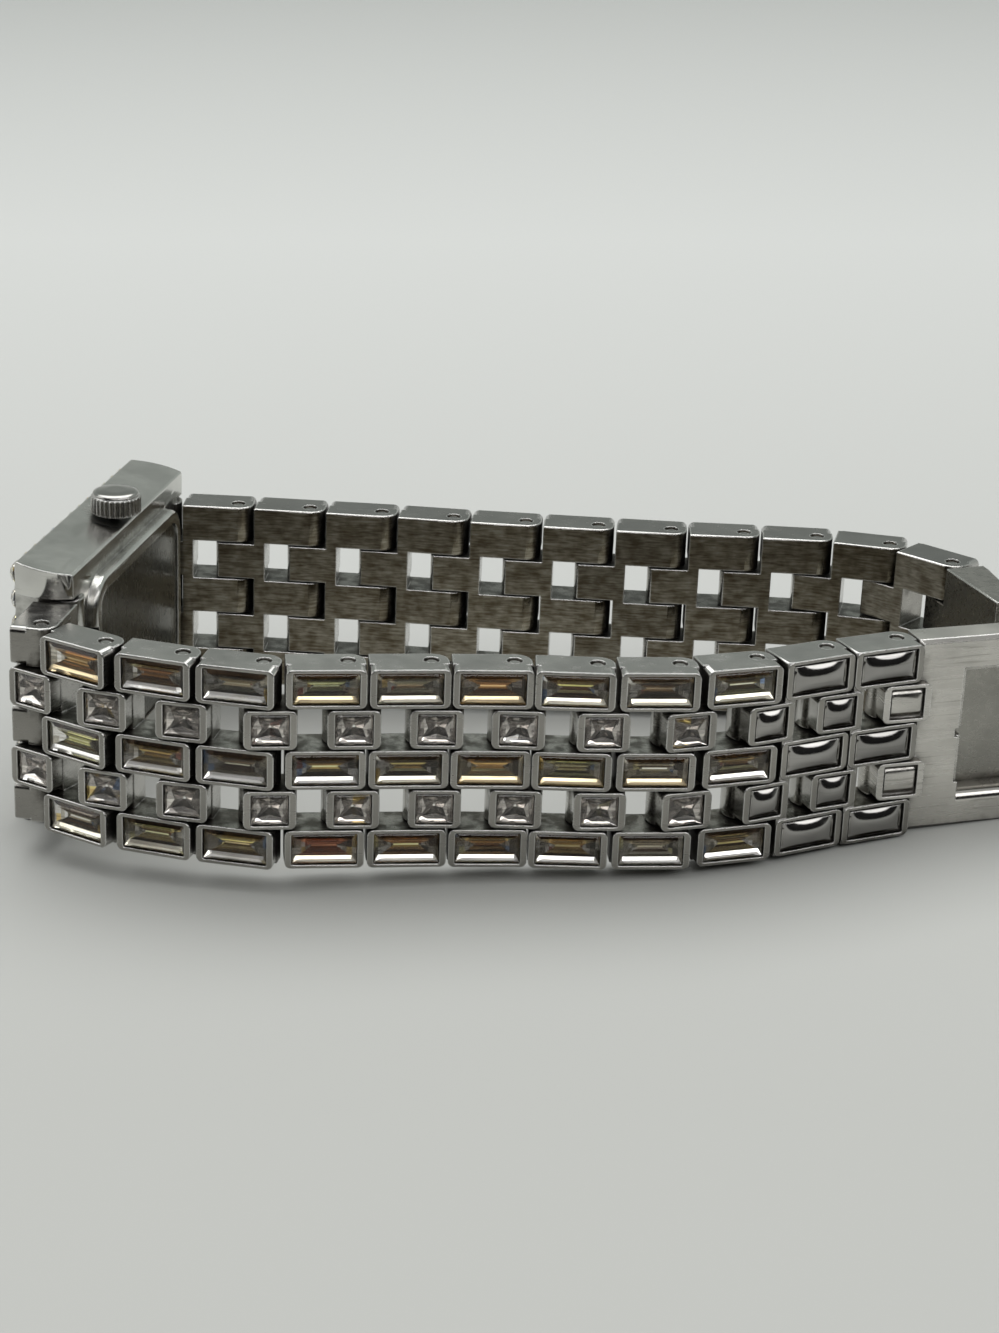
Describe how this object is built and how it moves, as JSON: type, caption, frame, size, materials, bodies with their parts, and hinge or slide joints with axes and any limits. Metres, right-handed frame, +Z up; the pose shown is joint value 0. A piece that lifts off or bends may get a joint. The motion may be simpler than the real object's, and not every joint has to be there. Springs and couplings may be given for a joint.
{
  "type": "bracelet watch",
  "caption": "Rectangular wrist watch on a five-row bracelet of crystal-set links, lying on its side with the clasp shut.",
  "frame": {"origin": "middle of the underside of the watch's bounding box, as it lies on the lower flank of its case", "axes": "+X from the case to the clasp, +Y from the six o'clock side of the band to the twelve o'clock side, +Z up, along the hinge pins, from the nine o'clock flank to the crown"},
  "size_m": [0.0862, 0.041, 0.0237],
  "materials": {
    "case_steel": "satin",
    "link_steel": "satin with polished cup rims",
    "brushed_steel": "lengthwise brushed, worn",
    "polished_steel": "polished",
    "stem_steel": "turned",
    "cell_steel": "nickel plated",
    "movement_brass": "satin plated",
    "gasket_rubber": "matte",
    "dial_white": "lacquered",
    "glass": "clear",
    "crystal": "faceted, clear, foil backed"
  },
  "bodies": {
    "case": {"case": "case_steel", "bezel_stones": "crystal", "watch_glass": "glass", "dial": "dial_white", "dial_markers": "polished_steel", "movement": "movement_brass", "battery": "cell_steel", "back_plate": "brushed_steel", "back_gasket": "gasket_rubber", "lug_pins": "stem_steel"},
    "stem": {"stem": "stem_steel"},
    "crown": {"crown": "polished_steel"},
    "hour_hand": {"hour_hand": "polished_steel"},
    "minute_hand": {"minute_hand": "polished_steel"},
    "second_hand": {"second_hand": "polished_steel"},
    "clasp_cover": {"clasp_cover": "brushed_steel", "clasp_catch": "brushed_steel"},
    "clasp_tongue": {"clasp_tongue": "brushed_steel"},
    "near_link_01": {"near_link_01": "link_steel", "near_stones_01": "crystal"},
    "near_link_02": {"near_link_02": "link_steel", "near_stones_02": "crystal"},
    "near_link_03": {"near_link_03": "link_steel", "near_stones_03": "crystal"},
    "near_link_04": {"near_link_04": "link_steel", "near_stones_04": "crystal"},
    "near_link_05": {"near_link_05": "link_steel", "near_stones_05": "crystal"},
    "near_link_06": {"near_link_06": "link_steel", "near_stones_06": "crystal"},
    "near_link_07": {"near_link_07": "link_steel", "near_stones_07": "crystal"},
    "near_link_08": {"near_link_08": "link_steel", "near_stones_08": "crystal"},
    "near_link_09": {"near_link_09": "link_steel", "near_stones_09": "crystal"},
    "near_link_10": {"near_link_10": "link_steel", "near_stones_10": "crystal"},
    "near_link_11": {"near_link_11": "link_steel"},
    "near_link_12": {"near_link_12": "link_steel"},
    "far_link_01": {"far_link_01": "link_steel", "far_stones_01": "crystal"},
    "far_link_02": {"far_link_02": "link_steel", "far_stones_02": "crystal"},
    "far_link_03": {"far_link_03": "link_steel", "far_stones_03": "crystal"},
    "far_link_04": {"far_link_04": "link_steel", "far_stones_04": "crystal"},
    "far_link_05": {"far_link_05": "link_steel", "far_stones_05": "crystal"},
    "far_link_06": {"far_link_06": "link_steel", "far_stones_06": "crystal"},
    "far_link_07": {"far_link_07": "link_steel", "far_stones_07": "crystal"},
    "far_link_08": {"far_link_08": "link_steel", "far_stones_08": "crystal"},
    "far_link_09": {"far_link_09": "link_steel", "far_stones_09": "crystal"},
    "far_link_10": {"far_link_10": "link_steel"},
    "far_link_11": {"far_link_11": "link_steel"}
  },
  "joints": [
    {"name": "stem_pull", "type": "slide", "parent": "case", "child": "stem", "axis": [0, 0, 1], "range_m": [0, 0.001]},
    {"name": "crown_turn", "type": "hinge", "parent": "stem", "child": "crown", "pos_m": [-0.03665, 0.00611, 0.02164], "axis": [0, 0, 1], "continuous": true},
    {"name": "minute_hand_turn", "type": "hinge", "parent": "case", "child": "minute_hand", "pos_m": [-0.03901, 0.00655, 0.01086], "axis": [-0.9826, 0.1857, 0], "continuous": true},
    {"name": "hour_hand_turn", "type": "hinge", "parent": "case", "child": "hour_hand", "pos_m": [-0.03901, 0.00655, 0.01086], "axis": [-0.9826, 0.1857, 0], "continuous": true},
    {"name": "second_hand_turn", "type": "hinge", "parent": "case", "child": "second_hand", "pos_m": [-0.03901, 0.00655, 0.01086], "axis": [-0.9826, 0.1857, 0], "continuous": true},
    {"name": "cover_hinge", "type": "hinge", "parent": "near_link_12", "child": "clasp_cover", "pos_m": [0.02562, -0.00814, 0.01086], "axis": [0, 0, -1], "range_deg": [0, 2.5]},
    {"name": "tongue_hinge", "type": "hinge", "parent": "far_link_11", "child": "clasp_tongue", "pos_m": [0.03244, 0.01033, 0.01086], "axis": [0, 0, 1], "range_deg": [0, 35.12]},
    {"name": "near_hinge_01", "type": "hinge", "parent": "case", "child": "near_link_01", "pos_m": [-0.03872, -0.00622, 0.01086], "axis": [0, 0, -1], "range_deg": [0, 6.5]},
    {"name": "near_hinge_02", "type": "hinge", "parent": "near_link_01", "child": "near_link_02", "pos_m": [-0.03971, -0.01234, 0.01086], "axis": [0, 0, -1], "range_deg": [0, 74]},
    {"name": "near_hinge_03", "type": "hinge", "parent": "near_link_02", "child": "near_link_03", "pos_m": [-0.03435, -0.01546, 0.01086], "axis": [0, 0, -1], "range_deg": [0, 19.5]},
    {"name": "near_hinge_04", "type": "hinge", "parent": "near_link_03", "child": "near_link_04", "pos_m": [-0.02839, -0.01714, 0.01086], "axis": [0, 0, -1], "range_deg": [0, 10.5]},
    {"name": "near_hinge_05", "type": "hinge", "parent": "near_link_04", "child": "near_link_05", "pos_m": [-0.02228, -0.01824, 0.01086], "axis": [0, 0, -1], "range_deg": [0, 22]},
    {"name": "near_hinge_06", "type": "hinge", "parent": "near_link_05", "child": "near_link_06", "pos_m": [-0.01613, -0.0175, 0.01086], "axis": [0, 0, -1], "range_deg": [0, 5]},
    {"name": "near_hinge_07", "type": "hinge", "parent": "near_link_06", "child": "near_link_07", "pos_m": [-0.00997, -0.01677, 0.01086], "axis": [0, 0, -1], "range_deg": [0, 3]},
    {"name": "near_hinge_08", "type": "hinge", "parent": "near_link_07", "child": "near_link_08", "pos_m": [-0.00379, -0.01625, 0.01086], "axis": [0, 0, -1], "range_deg": [0, 1.5]},
    {"name": "near_hinge_09", "type": "hinge", "parent": "near_link_08", "child": "near_link_09", "pos_m": [0.00241, -0.01611, 0.01086], "axis": [0, 0, -1], "range_deg": [0, 9.5]},
    {"name": "near_hinge_10", "type": "hinge", "parent": "near_link_09", "child": "near_link_10", "pos_m": [0.00857, -0.01548, 0.01086], "axis": [0, 0, -1], "range_deg": [0, 17.5]},
    {"name": "near_hinge_11", "type": "hinge", "parent": "near_link_10", "child": "near_link_11", "pos_m": [0.01446, -0.01354, 0.01086], "axis": [0, 0, -1], "range_deg": [0, 14]},
    {"name": "near_hinge_12", "type": "hinge", "parent": "near_link_11", "child": "near_link_12", "pos_m": [0.01997, -0.01069, 0.01086], "axis": [0, 0, -1], "range_deg": [0, 2]},
    {"name": "far_hinge_01", "type": "hinge", "parent": "case", "child": "far_link_01", "pos_m": [-0.03408, 0.01834, 0.01086], "axis": [0, 0, 1], "range_deg": [0, 85.7]},
    {"name": "far_hinge_02", "type": "hinge", "parent": "far_link_01", "child": "far_link_02", "pos_m": [-0.02788, 0.01819, 0.01086], "axis": [0, 0, 1], "range_deg": [0, 6.7]},
    {"name": "far_hinge_03", "type": "hinge", "parent": "far_link_02", "child": "far_link_03", "pos_m": [-0.02169, 0.01785, 0.01086], "axis": [0, 0, 1], "range_deg": [0, 5]},
    {"name": "far_hinge_04", "type": "hinge", "parent": "far_link_03", "child": "far_link_04", "pos_m": [-0.0155, 0.01752, 0.01086], "axis": [0, 0, 1], "range_deg": [0, 6.8]},
    {"name": "far_hinge_05", "type": "hinge", "parent": "far_link_04", "child": "far_link_05", "pos_m": [-0.00932, 0.01699, 0.01086], "axis": [0, 0, 1], "range_deg": [0, 3.8]},
    {"name": "far_hinge_06", "type": "hinge", "parent": "far_link_05", "child": "far_link_06", "pos_m": [-0.00314, 0.01659, 0.01086], "axis": [0, 0, 1], "range_deg": [0, 4.4]},
    {"name": "far_hinge_07", "type": "hinge", "parent": "far_link_06", "child": "far_link_07", "pos_m": [0.00305, 0.01625, 0.01086], "axis": [0, 0, 1], "range_deg": [0, 5]},
    {"name": "far_hinge_08", "type": "hinge", "parent": "far_link_07", "child": "far_link_08", "pos_m": [0.00925, 0.01592, 0.01086], "axis": [0, 0, 1], "range_deg": [0, 2.5]},
    {"name": "far_hinge_09", "type": "hinge", "parent": "far_link_08", "child": "far_link_09", "pos_m": [0.01545, 0.01585, 0.01086], "axis": [0, 0, 1], "range_deg": [0, 6.7]},
    {"name": "far_hinge_10", "type": "hinge", "parent": "far_link_09", "child": "far_link_10", "pos_m": [0.02164, 0.01561, 0.01086], "axis": [0, 0, 1], "range_deg": [0, 14.6]},
    {"name": "far_hinge_11", "type": "hinge", "parent": "far_link_10", "child": "far_link_11", "pos_m": [0.02771, 0.01433, 0.01086], "axis": [0, 0, 1], "range_deg": [0, 33.3]}
  ],
  "couplings": [
    {"joint": "hour_hand_turn", "follows": "minute_hand_turn", "ratio": 0.083333}
  ]
}
